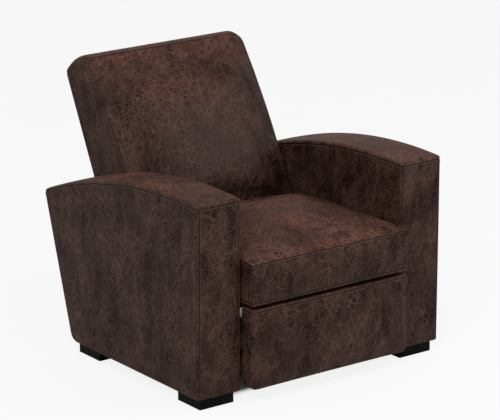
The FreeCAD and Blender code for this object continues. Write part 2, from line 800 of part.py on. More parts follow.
# Footrest
def make_footrest():
    cushion("footrest_pad", cell("rest_half"), rest_profile)
    back = f"(-{cell('rest_back')} + {cell('seam_gap')} / 2)"
    margin = cell("board_margin")
    half = f"({cell('rest_half')} - {cell('board_inset')})"
    box("footrest_board", f"-{half}", f"2 * {half}", back, cell("board_thick"),
        f"{cell('rest_low')} + {margin}", f"{cell('rest_top')} - {cell('rest_low')} - 2 * {margin}")
    behind = f"({back} + {cell('board_thick')})"
    for side_name, side in SIDES:
        body = plate_body(f"{side_name}_footrest_bracket", side, THIGH_LAYER)
        room = LINK_HALF
        corners = [
            (behind, f"{SOLE[1]} - {room}"),
            (f"{SOLE[0]} + {room} / 2", f"{SOLE[1]} - {room}"),
            (f"{SOLE[0]} + {room}", SOLE[1]),
            (f"{ANKLE[0]} + {room}", ANKLE[1]),
            (f"{ANKLE[0]} + {room} / 2", f"{ANKLE[1]} + {room}"),
            (behind, f"{ANKLE[1]} + {room}"),
        ]
        pad(body, outline(body, f"{side_name}_bracket_web", corners), cell("plate"), side < 0)
        low = f"{SOLE[1]} - {room}"
        high = f"{ANKLE[1]} + {room}"
        flange = [(behind, low), (f"{behind} + {cell('plate')}", low), (f"{behind} + {cell('plate')}", high),
                  (behind, high)]
        pad(body, outline(body, f"{side_name}_bracket_flange", flange), cell("rest_flange"), side > 0)
        holes = circles(body, f"{side_name}_bracket_hole", [ANKLE], RUNNING_HOLE)
        pocket(body, holes, cell("plate"), side > 0)


# Back
def back_line(level, inset="0"):
    """Depth of the back's raked rear face at a height, less an inset."""
    drop = f"({cell('shoulder_height')} - ({level})) * {cell('back_tan')}"
    return f"({cell('rear_reach')} - {drop} - ({inset}))"


def make_back():
    cushion("back_cushion", cell("back_half"), back_profile)
    wall = cell("wall_run")
    top = f"({cell('back_top_seam')} + {cell('seam_gap')})"
    cushion_rear_top = f"({cell('back_front_top')} + {cell('back_cushion_deep')} + {cell('seam_gap')})"
    shoulder = cell("shoulder_height")

    body = new_body("back_rear_panel")
    corners = [
        (back_line(cell("back_tail"), wall), cell("back_tail")),
        (back_line(cell("back_tail")), cell("back_tail")),
        (cell("rear_reach"), shoulder),
        (f"{cushion_rear_top} + {wall}", top),
        (cushion_rear_top, f"{top} - {cell('back_wall')}"),
        (f"{cell('rear_reach')} - {wall}", f"{shoulder} - {cell('back_wall')} / 3"),
    ]
    sketch = outline(body, "back_rear_side", corners, {2: cell("shoulder_bow")})
    pad(body, sketch, f"2 * {cell('back_half')}", centred=True)

    low = cell("back_low")
    cushion_rear_low = f"({cell('back_front_low')} + {cell('back_cushion_deep')} + {cell('seam_gap')})"
    inside = f"({wall} + {cell('seam_gap')})"
    high = f"({top} - {cell('back_wall')} - {cell('seam_gap')})"
    bend = f"({shoulder} - {cell('back_wall')} / 2)"
    slope = cell("back_slope")
    for side_name, side in SIDES:
        label = f"{side_name}_back_side"
        body = new_body(label, f"{side} * ({cell('back_half')} - {cell('back_side_wall')})")
        corners = [
            (cushion_rear_low, low),
            (back_line(low, inside), low),
            (back_line(bend, inside), bend),
            (f"{cushion_rear_low} + ({high} - {low}) * {slope}", high),
        ]
        pad(body, outline(body, label + "_wedge", corners), cell("back_side_wall"), side < 0)

    body = new_body("back_frame")
    gap = f"({inside} + {cell('post_gap')})"
    front = f"({gap} + {cell('post_run')})"
    post_low, post_top = cell("post_low"), cell("post_top")
    tall = cell("back_rail_tall")

    def raked(bottom, upper):
        return [(back_line(bottom, front), bottom), (back_line(bottom, gap), bottom),
                (back_line(upper, gap), upper), (back_line(upper, front), upper)]

    outer = f"({cell('back_half')} - {cell('back_side_wall')} - {cell('post_gap')})"
    wide = cell("post_wide")
    plate_top = f"({low} - {cell('seam_gap')})"
    between = f"2 * ({outer} - {wide})"
    pad(body, outline(body, "back_low_rail", raked(low, f"({low} + {tall})")), between, centred=True)
    for side_name, side in SIDES:
        start = f"{side} * ({outer} - {wide})"
        post = outline(body, f"{side_name}_back_post", raked(post_low, post_top), offset=start)
        pad(body, post, wide, side < 0)
        # a block on the foot of the post brings it out to the bracket
        start = f"{side} * {outer}"
        block = outline(body, f"{side_name}_back_block", raked(post_low, plate_top), offset=start)
        pad(body, block, f"{layer_face(THIGH_LAYER)} - {outer}", side < 0)
    top_rail = raked(f"({post_top} - {tall})", post_top)
    pad(body, outline(body, "back_top_rail", top_rail), between, centred=True)

    count = int(number(cell("back_web_count")))
    web, thick = cell("web_wide"), cell("web_thick")
    bands = []
    for i in range(count):
        share = f"{i + 0.5} * ({post_top} - {low} - 2 * {tall}) / {count}"
        level = f"({low} + {tall} + {share} - {web} / 2)"
        depth = f"{back_line(level, front)} - {thick} / cos({cell('back_rake')})"
        band = box(f"back_web_{i}", f"-{outer}", f"2 * {outer}", depth, thick, level, web, piece=False)
        band.Placement.Rotation = FreeCAD.Rotation(FreeCAD.Vector(-1, 0, 0), 1)
        band.setExpression("Placement.Rotation.Angle", cell("back_rake"))
        bands.append(band)
    group = doc.addObject("Part::Compound", "back_webbing")
    group.Links = bands
    finished(group, "back_webbing")

    half = LINK_HALF
    for side_name, side in SIDES:
        body = plate_body(f"{side_name}_back_bracket", side, THIGH_LAYER)
        corners = [
            (f"{HINGE[0]} - {half}", f"{HINGE[1]} - {half} / 2"),
            (f"{HINGE[0]} + {half} / 2", f"{HINGE[1]} - {half}"),
            (back_line(post_low, gap), f"{post_low} + {half}"),
            (back_line(plate_top, gap), plate_top),
            (back_line(plate_top, front), plate_top),
            (f"{HINGE[0]} - {half}", f"{HINGE[1]} + {half}"),
        ]
        pad(body, outline(body, f"{side_name}_back_bracket_web", corners), cell("plate"), side < 0)
        holes = circles(body, f"{side_name}_back_bracket_hole", [HINGE], RUNNING_HOLE)
        pocket(body, holes, cell("plate"), side > 0)


def check():
    for item in doc.Objects:
        if "Invalid" in item.State or "Error" in item.State:
            raise SystemExit(f"{item.Name} failed: {item.State}")
    for piece in pieces:
        if piece.Shape.isNull() or not piece.Shape.isValid() or piece.Shape.Volume <= 0:
            raise SystemExit(f"{piece.Label} has no valid solid")


make_base()
make_swings()
make_footrest_links()
make_pins()
make_seat_plates()
make_seat_frame()
cushion("seat_cushion", cell("seat_half"), seat_profile)
make_footrest()
make_back()
doc.recompute()
check()
os.makedirs("parts", exist_ok=True)
for piece in pieces:
    piece.Shape.exportStep(f"parts/{piece.Label}.step")
print(len(pieces), "pieces")
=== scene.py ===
import json
import math

import bpy
import numpy as np
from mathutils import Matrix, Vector
from mathutils.bvhtree import BVHTree
from mathutils.kdtree import KDTree


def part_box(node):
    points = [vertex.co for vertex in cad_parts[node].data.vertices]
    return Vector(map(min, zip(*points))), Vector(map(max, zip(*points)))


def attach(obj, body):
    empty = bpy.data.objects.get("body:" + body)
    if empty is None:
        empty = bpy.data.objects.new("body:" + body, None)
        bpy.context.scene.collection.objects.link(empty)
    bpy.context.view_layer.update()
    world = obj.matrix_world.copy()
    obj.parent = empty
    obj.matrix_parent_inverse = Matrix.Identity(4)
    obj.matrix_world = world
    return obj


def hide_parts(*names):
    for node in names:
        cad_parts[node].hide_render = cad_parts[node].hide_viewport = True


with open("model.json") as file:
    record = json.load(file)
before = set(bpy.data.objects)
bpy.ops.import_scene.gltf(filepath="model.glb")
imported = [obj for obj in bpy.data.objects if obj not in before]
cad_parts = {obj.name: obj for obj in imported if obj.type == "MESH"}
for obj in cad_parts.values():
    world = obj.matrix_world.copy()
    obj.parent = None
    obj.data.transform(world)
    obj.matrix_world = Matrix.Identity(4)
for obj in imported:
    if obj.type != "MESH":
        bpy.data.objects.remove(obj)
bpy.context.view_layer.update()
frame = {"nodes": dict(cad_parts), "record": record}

# Metres. +Z is up and -Y the front. Depths run rearwards from FACE, the plane of the arms' front faces.
MM = 0.001
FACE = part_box("left_arm_front_panel")[0].y
TINY = 1e-9


# Tools
def deselect_all():
    if bpy.context.object and bpy.context.object.mode != "OBJECT":
        bpy.ops.object.mode_set(mode="OBJECT")
    bpy.ops.object.select_all(action="DESELECT")


def activate(obj):
    deselect_all()
    obj.select_set(True)
    bpy.context.view_layer.objects.active = obj


def points_of(obj):
    out = np.empty(len(obj.data.vertices) * 3)
    obj.data.vertices.foreach_get("co", out)
    return out.reshape(-1, 3)


def set_points(obj, points):
    obj.data.vertices.foreach_set("co", np.ascontiguousarray(points, float).ravel())
    obj.data.update()


def blend_line(first, second, share):
    return first + (second - first) * share


def bowed(share, start, end, rise):
    """Depth and height along a bowed line."""
    run, climb = end[0] - start[0], end[1] - start[1]
    long = math.hypot(run, climb)
    swell = rise * (1 - (2 * share - 1) ** 2)
    return start[0] + run * share - climb / long * swell, start[1] + climb * share + run / long * swell


def round_corner(a, b, corner_a, corner_b, radius):
    """Rounds one corner of a block's outline, in two of its axes."""
    side_a, side_b = math.copysign(1, corner_a), math.copysign(1, corner_b)
    over_a = np.maximum(a * side_a - (abs(corner_a) - radius), 0)
    over_b = np.maximum(b * side_b - (abs(corner_b) - radius), 0)
    spare = 1 - np.maximum(over_a, over_b) / np.maximum(np.hypot(over_a, over_b), TINY)
    both = (over_a > 0) & (over_b > 0)
    return a - side_a * over_a * spare * both, b - side_b * over_b * spare * both


# Blocks. Each face is cut CUTS times, and the grid lines crowd round seams and edges by the offsets in CLOSE.
CUTS = 55
CLOSE = (0, 1.2 * MM, 2.6 * MM, 5 * MM, 9 * MM)


def unit_block(name):
    """A cube of side 2, each face cut into a grid, to be shaped into an upholstered form."""
    deselect_all()
    bpy.ops.mesh.primitive_cube_add(size=2, location=(0, 0, 0))
    obj = bpy.context.object
    obj.name = obj.data.name = name
    bpy.ops.object.mode_set(mode="EDIT")
    bpy.ops.mesh.select_all(action="SELECT")
    bpy.ops.mesh.subdivide(number_cuts=CUTS)
    bpy.ops.object.mode_set(mode="OBJECT")
    return obj


def grid_lines(half, crowded):
    """The block's grid lines over -half..half, crowded round each of the given places."""
    lines = {-half, half}
    for place in crowded:
        for step in CLOSE:
            for line in (place - step, place + step):
                if -half < line < half:
                    lines.add(round(line, 5))
    lines = sorted(lines)
    while len(lines) < CUTS + 2:
        widest = int(np.argmax(np.diff(lines)))
        lines.insert(widest + 1, (lines[widest] + lines[widest + 1]) / 2)
    if len(lines) > CUTS + 2:
        raise SystemExit(f"{len(lines)} grid lines are over {CUTS + 2}")
    return np.array(lines)


# Seams and welts. A seam is a groove between two lips, which rise by a share of its depth, with a mask for
# its thread. A welt is a rounded roll.
SEAM_DEEP = 2.0 * MM
SEAM_WIDE = 1.3 * MM
LIP_RISE = 0.35
LIP_AWAY = 4.5 * MM
LIP_WIDE = 3 * MM
THREAD_WIDE = 2.1 * MM
WELT_WIDE = 3 * MM

# How near to a block's face a point counts as on it
FACE_MARGIN = 1 * MM


class Padding:
    """An upholstered form shaped from a gridded block. Its box runs across (x), rearwards (y) and up (z)."""

    def __init__(self, name, half, radius, seams=((), (), ())):
        self.obj = unit_block(name)
        self.half = np.array(half)
        self.radius = radius
        grid = points_of(self.obj)
        even = np.linspace(-1, 1, CUTS + 2)
        self.box = np.empty_like(grid)
        for axis in range(3):
            edge = half[axis] - radius / 2
            lines = grid_lines(half[axis], [*seams[axis], -edge, edge])
            self.box[:, axis] = np.interp(grid[:, axis], even, lines)
        self.x, self.y, self.z = self.box.T
        self.crowned = np.zeros(len(grid))
        self.groove = np.zeros(len(grid))
        self.seam = np.zeros(len(grid))

    def crown(self, axis, sign, rise, power=2.5):
        """Swells one face outwards, most in its middle."""
        first, second = [i for i in range(3) if i != axis]
        u = np.abs(self.box[:, first] / self.half[first])
        v = np.abs(self.box[:, second] / self.half[second])
        on = np.isclose(self.box[:, axis], sign * self.half[axis])
        self.crowned += on * rise * (1 - u ** power) * (1 - v ** power)

    def stitch(self, distance, depth=SEAM_DEEP, where=True):
        """Sews a seam along the line where distance is 0: a groove between two slightly raised lips."""
        gap = np.abs(distance)
        pull = -depth * np.exp(-(gap / SEAM_WIDE) ** 1.3)
        lip = LIP_RISE * depth * np.exp(-((gap - LIP_AWAY) / LIP_WIDE) ** 2)
        self.groove += np.where(where, pull + lip, 0)
        self.seam = np.maximum(self.seam, np.where(where, np.exp(-(gap / THREAD_WIDE) ** 2), 0))

    def welt(self, end, inset, rise, reach):
        """Raises a roll round the edge of the block's top face (end 1) or its bottom face (end -1)."""
        side = np.minimum(self.half[0] - np.abs(self.x), self.half[1] - np.abs(self.y))
        away = np.maximum(np.maximum(self.half[2] - end * self.z, side) - inset, 0)
        near = end * self.z > self.half[2] - reach
        self.groove += np.where(near, rise * np.exp(-(away / WELT_WIDE) ** 2), 0)

    def shape(self, place, free=None, cap=None):
        """Rounds the edges, sets the form in its place, lets it swell where it's free and sews its seams."""
        limit = self.half - self.radius
        inner = np.clip(self.box, -limit, limit)
        out = self.box - inner
        reach = np.max(np.abs(out), axis=1, keepdims=True)
        out /= np.maximum(np.linalg.norm(out, axis=1, keepdims=True), TINY)
        set_points(self.obj, place(inner + out * (reach + self.crowned[:, None])))
        if free is not None:
            swell(self, free, cap)
        normals = np.empty(len(out) * 3)
        self.obj.data.vertex_normals.foreach_get("vector", normals)
        set_points(self.obj, points_of(self.obj) + normals.reshape(-1, 3) * self.groove[:, None])
        seam = self.obj.data.attributes.new("seam", "FLOAT", "POINT")
        seam.data.foreach_set("value", self.seam.astype(np.float32))
        return self.obj


# Swelling. A copy of the form, a little smaller, swells as cloth over its filling, and the form's skin moves
# with it. SLACK is the spare cloth, and SEWN the least seam that holds it.
SHRUNK = 0.985
VOXEL = 6 * MM
FRAMES = 20
SLACK = 0.015
SEWN = 0.02
NEIGHBOURS = 6
NEIGHBOUR_BLUR = 0.5 * MM
CLOTH = {
    "quality": 5, "mass": 0.4, "tension_stiffness": 12, "compression_stiffness": 12, "shear_stiffness": 6,
    "bending_stiffness": 1.2, "use_pressure": True, "uniform_pressure_force": 4.0, "shrink_min": -SLACK,
    "shrink_max": -SLACK, "vertex_group_mass": "sewn", "pin_stiffness": 2,
}


def evenly_meshed_copy(obj, points):
    """A copy of the form, set to the given points and meshed again in even faces."""
    activate(obj)
    bpy.ops.object.duplicate()
    copy = bpy.context.object
    set_points(copy, points)
    copy.data.remesh_voxel_size = VOXEL
    bpy.ops.object.voxel_remesh()
    return copy


def seam_hold(pad, skin, start):
    """How strongly the seams of the form's nearest face hold each point of the copy."""
    faces = [tuple(face.vertices) for face in pad.obj.data.polygons]
    tree = BVHTree.FromPolygons([tuple(point) for point in skin], faces)
    nearest = [tree.find_nearest(Vector(point))[2] for point in start]
    return np.array([max(pad.seam[corner] for corner in faces[index]) for index in nearest])


def let_swell(copy, start, hold):
    """Swells the copy with its seams held, and gives the way that its points moved."""
    group = copy.vertex_groups.new(name="sewn")
    for i in np.nonzero(hold > SEWN)[0]:
        group.add([int(i)], float(min(hold[i], 1)), "REPLACE")
    cloth = copy.modifiers.new("swelling", "CLOTH")
    for name, value in CLOTH.items():
        setattr(cloth.settings, name, value)
    cloth.settings.effector_weights.gravity = 0
    cloth.collision_settings.use_collision = False
    for number in range(1, FRAMES + 1):
        bpy.context.scene.frame_set(number)
    activate(copy)
    bpy.ops.object.modifier_apply(modifier=cloth.name)
    bpy.context.scene.frame_set(1)
    return points_of(copy) - start


def carried(points, start, moved):
    """The way that the points move with the copy's nearest points."""
    near = KDTree(len(start))
    for i, point in enumerate(start):
        near.insert(point, i)
    near.balance()
    shift = np.zeros_like(points)
    for i, point in enumerate(points):
        found = near.find_n(point, NEIGHBOURS)
        weights = np.array([1 / (distance + NEIGHBOUR_BLUR) for _, _, distance in found])
        indices = [index for _, index, _ in found]
        shift[i] = (moved[indices] * weights[:, None]).sum(0) / weights.sum()
    return shift


def swell(pad, free, cap):
    """Swells the form's skin by no more than about cap, and by the share that free gives for each point."""
    skin = points_of(pad.obj)
    middle = (skin.min(0) + skin.max(0)) / 2
    smaller = middle + (skin - middle) * SHRUNK
    copy = evenly_meshed_copy(pad.obj, smaller)
    start = points_of(copy)
    moved = let_swell(copy, start, seam_hold(pad, skin, start))
    bpy.data.objects.remove(copy)
    shift = carried(smaller, start, moved)
    size = np.linalg.norm(shift, axis=1, keepdims=True)
    shift *= cap * np.tanh(size / cap) / np.maximum(size, TINY)
    set_points(pad.obj, skin + shift * free[:, None])


def finish_cover(obj, body, nodes):
    """Smooths a leather cover, joins it to its body and lets it stand for the body's own nodes."""
    activate(obj)
    rounding = obj.modifiers.new("rounding", "SUBSURF")
    rounding.levels = rounding.render_levels = 1
    bpy.ops.object.modifier_apply(modifier=rounding.name)
    bpy.ops.object.shade_smooth()
    obj.data.materials.append(leather)
    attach(obj, body)
    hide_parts(*nodes)


# Paints
class Wiring:
    """Adds shader nodes and joins them."""

    def __init__(self, tree):
        self.tree = tree

    def add(self, kind, **inputs):
        node = self.tree.nodes.new("ShaderNode" + kind)
        for name, value in inputs.items():
            self.feed(node.inputs[name.replace("_", " ")], value)
        return node

    def feed(self, socket, value):
        if isinstance(value, bpy.types.NodeSocket):
            self.tree.links.new(value, socket)
        else:
            socket.default_value = value

    def math(self, operation, first, second=0.0):
        node = self.add("Math")
        node.operation = operation
        self.feed(node.inputs[0], first)
        self.feed(node.inputs[1], second)
        return node.outputs[0]

    def vector(self, operation, first, second):
        node = self.add("VectorMath")
        node.operation = operation
        self.feed(node.inputs[0], first)
        self.feed(node.inputs[3 if operation == "SCALE" else 1], second)
        return node.outputs[0]

    def ramp(self, value, low, high, to_low=0.0, to_high=1.0):
        node = self.add("MapRange", Value=value, From_Min=low, From_Max=high, To_Min=to_low, To_Max=to_high)
        node.interpolation_type = "SMOOTHSTEP"
        return node.outputs[0]

    def mix(self, share, first, second):
        """Mixes two colours. The Mix node keeps its colour sockets at 6 and 7, and gives the colour at 2."""
        node = self.add("Mix")
        node.data_type = "RGBA"
        for index, value in ((0, share), (6, first), (7, second)):
            self.feed(node.inputs[index], value)
        return node.outputs[2]

    def noise(self, vector, scale, detail=2.0, rough=0.5, distortion=0.0):
        return self.add("TexNoise", Vector=vector, Scale=scale, Detail=detail, Roughness=rough,
                        Distortion=distortion)

    def turned(self, vector, angles, scale):
        return self.add("Mapping", Vector=vector, Rotation=angles, Scale=scale).outputs[0]

    def group(self, tree, **inputs):
        """Places a node group, with its own values."""
        node = self.add("Group")
        node.node_tree = tree
        for name, value in inputs.items():
            self.feed(node.inputs[name], value)
        return node.outputs

    def bump(self, shader, height, strength, distance):
        node = self.add("Bump", Height=height, Strength=strength, Distance=distance)
        self.feed(shader.inputs["Normal"], node.outputs[0])


def new_paint(name, colour, rough, gloss=0.5):
    paint = bpy.data.materials.new(name)
    paint.use_nodes = True
    shader = paint.node_tree.nodes["Principled BSDF"]
    shader.inputs["Base Color"].default_value = (*colour, 1)
    shader.inputs["Roughness"].default_value = rough
    shader.inputs["Specular IOR Level"].default_value = gloss
    return paint, Wiring(paint.node_tree), shader


def new_group(name, inputs, outputs):
    group = bpy.data.node_groups.new(name, "ShaderNodeTree")
    for label, kind in inputs:
        group.interface.new_socket(label, in_out="INPUT", socket_type="NodeSocket" + kind)
    for label, kind in outputs:
        group.interface.new_socket(label, in_out="OUTPUT", socket_type="NodeSocket" + kind)
    given = group.nodes.new("NodeGroupInput").outputs
    out = group.nodes.new("NodeGroupOutput").inputs
    return group, Wiring(group), given, out


# Leather. Each layer of creases has its turn, its scale and the width of its lines, as a share of a cell. The
# gloss is low, because the white world would lay a grey veil on so dark a hide.
HIDE_PLAIN, HIDE_ROUGH, HIDE_GLOSS = (0.05, 0.03, 0.025), 0.45, 0.075
HAIRS = (((0.0, 0.4, 0.9), 15.0, 0.011), ((0.5, 1.2, 2.3), 19.0, 0.014), ((1.1, 0.2, 0.1), 24.0, 0.018),
         ((0.3, 1.45, 0.4), 29.0, 0.022), ((1.9, 0.8, 1.7), 36.0, 0.027), ((0.9, 1.1, 2.9), 45.0, 0.034),
         ((2.4, 0.3, 1.2), 56.0, 0.042), ((1.6, 1.9, 0.6), 33.0, 0.025))
HAIR_STRETCH = (2.6, 1.0, 1.0)
HAIR_BEND = 0.8
RED_WIDER = 1.3
CREASE_SHARE = 0.55
GRAIN_SCALE, GRAIN_HIGH = 520.0, 0.10
RIPPLE_SCALE, RIPPLE_HIGH = 60.0, 0.35
CREASE_DEEP = 0.22

DARK_HIDE = (0.0095, 0.0034, 0.0025, 1)
PALE_HIDE = (0.044, 0.0235, 0.0195, 1)
# A redder, lighter copy of the hide and its creases for faces that look up, as painted light on the tops
DARK_TOP_LIT = (0.027, 0.0080, 0.0055, 1)
PALE_TOP_LIT = (0.082, 0.029, 0.0195, 1)
CREASE = (0.138, 0.080, 0.062, 1)
TOP_LIT_CREASE = (0.25, 0.118, 0.084, 1)
SEAM_THREAD = (0.006, 0.0035, 0.003, 1)

# Faces that look up get painted light, a redder and lighter copy of the hide, by how far their normal points
# up, and they are rougher
UPWARD = (0.35, 0.95)
SIDE_PAINTED_LIGHT, TOP_PAINTED_LIGHT = 0.12, 0.85
DARK_ROUGH, WORN_ROUGH, TOP_ROUGHER = 0.28, 0.46, 0.30
LIP_HIGHLIGHT_SHARE, THREAD_SHARE = 0.30, 0.93


def make_hair_group():
    """Long fine creases of the hide: the thin edges of drawn-out cells, broken here and there."""
    inputs = [("Vector", "Vector"), ("Turn", "Vector"), ("Scale", "Float"), ("Width", "Float")]
    group, w, given, out = new_group("crease_hairs", inputs, [("Hairs", "Float")])
    lie = w.add("Mapping", Vector=given["Vector"], Rotation=given["Turn"], Scale=HAIR_STRETCH)
    lie.vector_type = "TEXTURE"
    turned = lie.outputs[0]
    bent = w.noise(turned, w.math("MULTIPLY", given["Scale"], 0.5), 3.0, 0.55).outputs["Color"]
    bent = w.vector("SUBTRACT", bent, (0.5, 0.5, 0.5))
    bent = w.vector("SCALE", bent, w.math("DIVIDE", HAIR_BEND, given["Scale"]))
    cells = w.add("TexVoronoi", Vector=w.vector("ADD", turned, bent), Scale=given["Scale"])
    cells.feature = "DISTANCE_TO_EDGE"
    line = w.ramp(cells.outputs["Distance"], 0.0, given["Width"], 1.0, 0.0)
    breaks = w.ramp(w.noise(turned, w.math("MULTIPLY", given["Scale"], 0.6)).outputs[0], 0.40, 0.60)
    w.feed(out["Hairs"], w.math("MULTIPLY", line, breaks))
    return group


def make_hide_group():
    """The hide's colour, with painted light on faces that look up, and its height and worn mask, from its
    place on the piece.
    """
    group, w, given, out = new_group("hide", [("Vector", "Vector"), ("Red", "Float")],
                                     [("Color", "Color"), ("Height", "Float"), ("Worn", "Float")])
    place, top_light = given["Vector"], given["Red"]
    hairs = make_hair_group()
    broader = w.math("ADD", 1.0, w.math("MULTIPLY", top_light, RED_WIDER))
    webs = 0.0
    for turn, scale, width in HAIRS:
        layer = w.group(hairs, Vector=place, Turn=turn, Scale=scale, Width=w.math("MULTIPLY", width, broader))
        webs = w.math("MAXIMUM", webs, layer["Hairs"])

    cloud = w.ramp(w.noise(place, 7.0, 6.0, 0.66, 0.8).outputs[0], 0.40, 0.60)
    smoke = w.noise(w.turned(place, (0.2, 0.4, 0), (1, 1, 0.3)), 26.0, 6.0, 0.68).outputs[0]
    smoke = w.ramp(smoke, 0.40, 0.60)
    tone = w.math("ADD", w.math("MULTIPLY", cloud, 0.5), w.math("MULTIPLY", smoke, 0.5))
    # Painted light: faces that look up take a redder, lighter copy of the hide, in patches
    top_lights = w.math("MULTIPLY", top_light, w.ramp(w.noise(place, 9.0, 4.0).outputs[0], 0.35, 0.7, 0.55, 1.0))
    colour = w.mix(top_lights, w.mix(tone, DARK_HIDE, PALE_HIDE), w.mix(tone, DARK_TOP_LIT, PALE_TOP_LIT))
    gather = w.ramp(w.noise(place, 7.0, 3.0).outputs[0], 0.38, 0.62, 0.5, 1.0)
    creased = w.math("MULTIPLY", w.math("MULTIPLY", webs, gather), CREASE_SHARE)
    w.feed(out["Color"], w.mix(creased, colour, w.mix(top_light, CREASE, TOP_LIT_CREASE)))

    grain = w.add("TexVoronoi", Vector=place, Scale=GRAIN_SCALE).outputs["Distance"]
    ripple = w.noise(place, RIPPLE_SCALE, 3.0, 0.6).outputs[0]
    height = w.math("ADD", w.math("MULTIPLY", grain, GRAIN_HIGH), w.math("MULTIPLY", ripple, RIPPLE_HIGH))
    w.feed(out["Height"], w.math("SUBTRACT", height, w.math("MULTIPLY", webs, CREASE_DEEP)))
    w.feed(out["Worn"], w.math("MULTIPLY", w.math("ADD", tone, webs), 0.5))
    return group


def make_leather():
    paint, w, shader = new_paint("leather", HIDE_PLAIN, HIDE_ROUGH, HIDE_GLOSS)
    place = w.add("TexCoord")
    upward = w.add("SeparateXYZ", Vector=place.outputs["Normal"]).outputs["Z"]
    # How far each normal points up sets the share of painted light on the tops, and extra roughness
    top = w.ramp(upward, *UPWARD, SIDE_PAINTED_LIGHT, TOP_PAINTED_LIGHT)
    hide = w.group(make_hide_group(), Vector=place.outputs["Object"], Red=top)
    seam = w.add("Attribute")
    seam.attribute_name = "seam"
    line = w.ramp(seam.outputs["Fac"], 0.35, 0.75)
    lip = w.math("MULTIPLY", w.ramp(seam.outputs["Fac"], 0.02, 0.25), w.math("SUBTRACT", 1.0, line))
    # Beside each seam the hide is painted lighter, as a painted highlight on the raised lips
    colour = w.mix(w.math("MULTIPLY", lip, LIP_HIGHLIGHT_SHARE), hide["Color"], CREASE)
    w.feed(shader.inputs["Base Color"], w.mix(w.math("MULTIPLY", line, THREAD_SHARE), colour, SEAM_THREAD))
    rough = w.ramp(hide["Worn"], 0.0, 0.8, DARK_ROUGH, WORN_ROUGH)
    w.feed(shader.inputs["Roughness"], w.math("ADD", rough, w.math("MULTIPLY", top, TOP_ROUGHER)))
    w.bump(shader, hide["Height"], 0.55, 1.2 * MM)
    return paint


# Other materials
# Timber is painted darker than bare wood, as painted shade, so that the frame inside the chair reads dark.
# Its grain and pores are its own.
DARK_TIMBER = (0.022, 0.012, 0.008, 1)
PALE_TIMBER = (0.085, 0.048, 0.028, 1)
PORE = (0.012, 0.007, 0.005, 1)
DARK_WEB = (0.012, 0.012, 0.013, 1)
PALE_WEB = (0.05, 0.05, 0.055, 1)
LACQUER, LACQUER_DUST = (0.003, 0.003, 0.003), (0.008, 0.008, 0.008)
STEEL, STEEL_DUST = (0.012, 0.012, 0.013), (0.03, 0.029, 0.028)
PLATING, PLATING_DUST = (0.42, 0.41, 0.38), (0.30, 0.28, 0.25)


def make_wood():
    # The timber's dark colour is painted shade for the frame inside the chair
    paint, w, shader = new_paint("shade_darkened_timber", (0.05, 0.03, 0.02), 0.55, 0.2)
    place = w.turned(w.add("TexCoord").outputs["Object"], (0, 0, 0), (2, 2, 26))
    grain = w.noise(place, 9.0, 6.0, 0.65, 1.2).outputs[0]
    pores = w.noise(w.turned(place, (0, 0, 0), (1, 1, 6)), 60.0).outputs[0]
    colour = w.mix(w.ramp(grain, 0.3, 0.7), DARK_TIMBER, PALE_TIMBER)
    w.feed(shader.inputs["Base Color"], w.mix(w.ramp(pores, 0.55, 0.75, 0.0, 0.6), colour, PORE))
    w.bump(shader, grain, 0.3, 0.5 * MM)
    return paint


def make_coated(name, dark, pale, rough, scale, gloss=0.12, metallic=0.0):
    """Paint or plating with a fine uneven surface and some dust."""
    paint, w, shader = new_paint(name, dark, rough, gloss)
    shader.inputs["Metallic"].default_value = metallic
    place = w.add("TexCoord").outputs["Object"]
    dust = w.ramp(w.noise(place, scale * 0.05, 4.0, 0.6).outputs[0], 0.45, 0.75)
    w.feed(shader.inputs["Base Color"], w.mix(dust, (*dark, 1), (*pale, 1)))
    skin = w.noise(place, scale).outputs[0]
    w.feed(shader.inputs["Roughness"], w.ramp(w.math("ADD", dust, skin), 0.3, 1.5, rough, rough + 0.25))
    w.bump(shader, skin, 0.25, 0.2 * MM)
    return paint


def make_webbing():
    paint, w, shader = new_paint("woven_webbing", (0.02, 0.02, 0.02), 0.85, 0.2)
    place = w.add("TexCoord").outputs["Object"]
    threads = []
    for direction in "XZ":
        wave = w.add("TexWave", Vector=place, Scale=160.0, Distortion=0.4)
        wave.bands_direction = direction
        threads.append(wave.outputs["Fac"])
    weave = w.math("MULTIPLY", *threads)
    w.feed(shader.inputs["Base Color"], w.mix(weave, DARK_WEB, PALE_WEB))
    w.bump(shader, weave, 0.6, 0.6 * MM)
    return paint


leather = make_leather()
PAINTS = {
    "leather": leather,
    "foot_black": make_coated("black_lacquer", LACQUER, LACQUER_DUST, 0.32, 700.0, 0.05),
    "steel": make_coated("black_steel", STEEL, STEEL_DUST, 0.42, 900.0),
    "rivet": make_coated("plated_steel", PLATING, PLATING_DUST, 0.3, 1200.0, 0.5, 1.0),
    "timber": make_wood(),
    "webbing": make_webbing(),
}
for part in frame["record"]["subparts"]:
    for holder in frame["nodes"][part["node"]].material_slots:
        holder.material = PAINTS[part["material_slot"]]


# Arms
ARM_WIDE = 154 * MM
ARM_INNER = 295.5 * MM
ARM_LOW = 33 * MM
ARM_FRONT_TOP = (-1 * MM, 619 * MM)
ARM_REAR_TOP = (799 * MM, 483 * MM)
ARM_BOW = 47.5 * MM
ARM_HEEL = 660 * MM
ARM_EDGE = 8 * MM
ARM_TOP_SEAM, ARM_FRONT_SEAM = 11 * MM, 8 * MM
ARM_SIDE_CROWN, ARM_FRONT_CROWN, ARM_TOP_CROWN = 3 * MM, 2.5 * MM, 4 * MM
ARM_HEEL_ROUND, ARM_REAR_ROUND, ARM_FRONT_ROUND = 32 * MM, 16 * MM, 6 * MM
ARM_PANELS = ("inner_panel", "outer_panel", "top_pad", "front_panel", "rear_panel")


